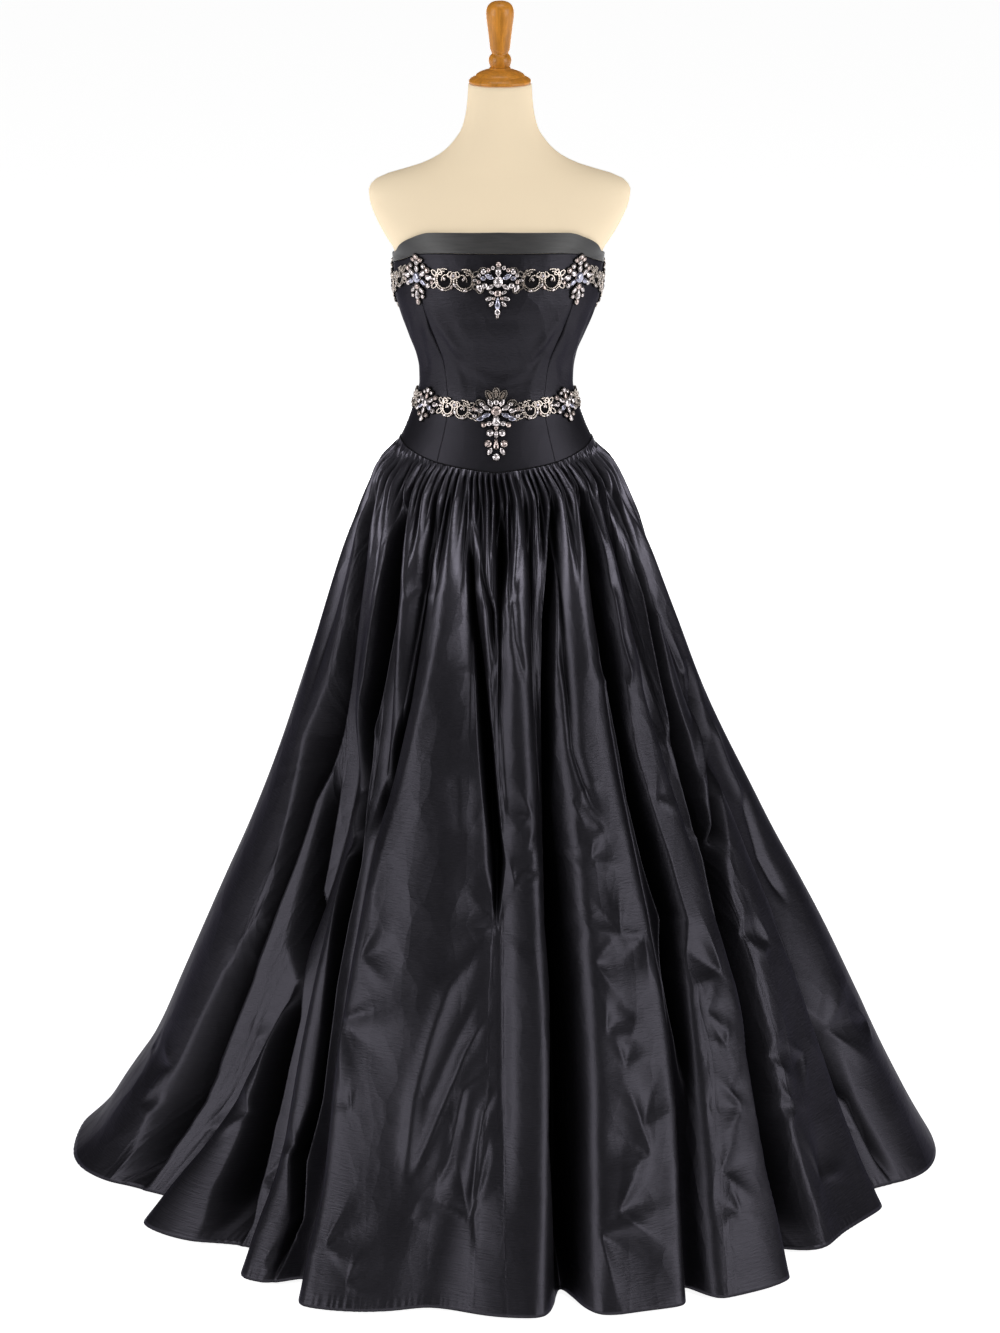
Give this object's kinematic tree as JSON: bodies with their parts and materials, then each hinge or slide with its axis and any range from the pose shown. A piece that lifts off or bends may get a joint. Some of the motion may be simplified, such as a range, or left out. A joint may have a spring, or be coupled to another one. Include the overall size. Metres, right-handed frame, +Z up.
{
  "type": "ball gown on dress form",
  "caption": "Strapless floor-length gown with a fitted bodice, jewelled trims and a full gathered skirt, on a limbless dress form with a turned wooden cap",
  "frame": {"origin": "centre of the stand base's underside, on the floor", "axes": "+Z up, the gown's front faces -Y, +X is the wearer's left"},
  "size_m": [1.2934, 1.3353, 1.7136],
  "materials": {
    "taffeta": "crisp charcoal silk taffeta with a soft sheen",
    "band_satin": "grey satin band",
    "form_jersey": "smooth cream jersey, matt",
    "turned_wood": "glossy golden brown varnish",
    "stand_metal": "black semi-gloss",
    "jewel_trim": "faceted stones in grey metal settings",
    "zip_tape": "black woven tape and coil"
  },
  "bodies": {
    "root": {"band_back_left": "band_satin", "band_back_right": "band_satin", "band_front": "band_satin", "basque_back_left": "taffeta", "basque_back_right": "taffeta", "basque_front": "taffeta", "basque_side_left": "taffeta", "basque_side_right": "taffeta", "bodice_back_left": "taffeta", "bodice_back_right": "taffeta", "bodice_front": "taffeta", "bodice_side_back_left": "taffeta", "bodice_side_back_right": "taffeta", "bodice_side_front_left": "taffeta", "bodice_side_front_right": "taffeta", "form_cap": "turned_wood", "form_handle": "turned_wood", "form_torso": "form_jersey", "link_chest_left_1": "jewel_trim", "link_chest_left_2": "jewel_trim", "link_chest_left_3": "jewel_trim", "link_chest_left_4": "jewel_trim", "link_chest_right_1": "jewel_trim", "link_chest_right_2": "jewel_trim", "link_chest_right_3": "jewel_trim", "link_chest_right_4": "jewel_trim", "link_waist_left_1": "jewel_trim", "link_waist_left_2": "jewel_trim", "link_waist_left_3": "jewel_trim", "link_waist_right_1": "jewel_trim", "link_waist_right_2": "jewel_trim", "link_waist_right_3": "jewel_trim", "motif_chest_front": "jewel_trim", "motif_chest_left_1": "jewel_trim", "motif_chest_left_2": "jewel_trim", "motif_chest_left_3": "jewel_trim", "motif_chest_right_1": "jewel_trim", "motif_chest_right_2": "jewel_trim", "motif_chest_right_3": "jewel_trim", "motif_waist_front": "jewel_trim", "motif_waist_left_1": "jewel_trim", "motif_waist_left_2": "jewel_trim", "motif_waist_right_1": "jewel_trim", "motif_waist_right_2": "jewel_trim", "skirt_back_left": "taffeta", "skirt_back_right": "taffeta", "skirt_front": "taffeta", "skirt_side_left": "taffeta", "skirt_side_right": "taffeta", "stand_base": "stand_metal", "stand_pole": "stand_metal", "zip_slider": "stand_metal", "zip_tape": "zip_tape"}
  },
  "joints": []
}
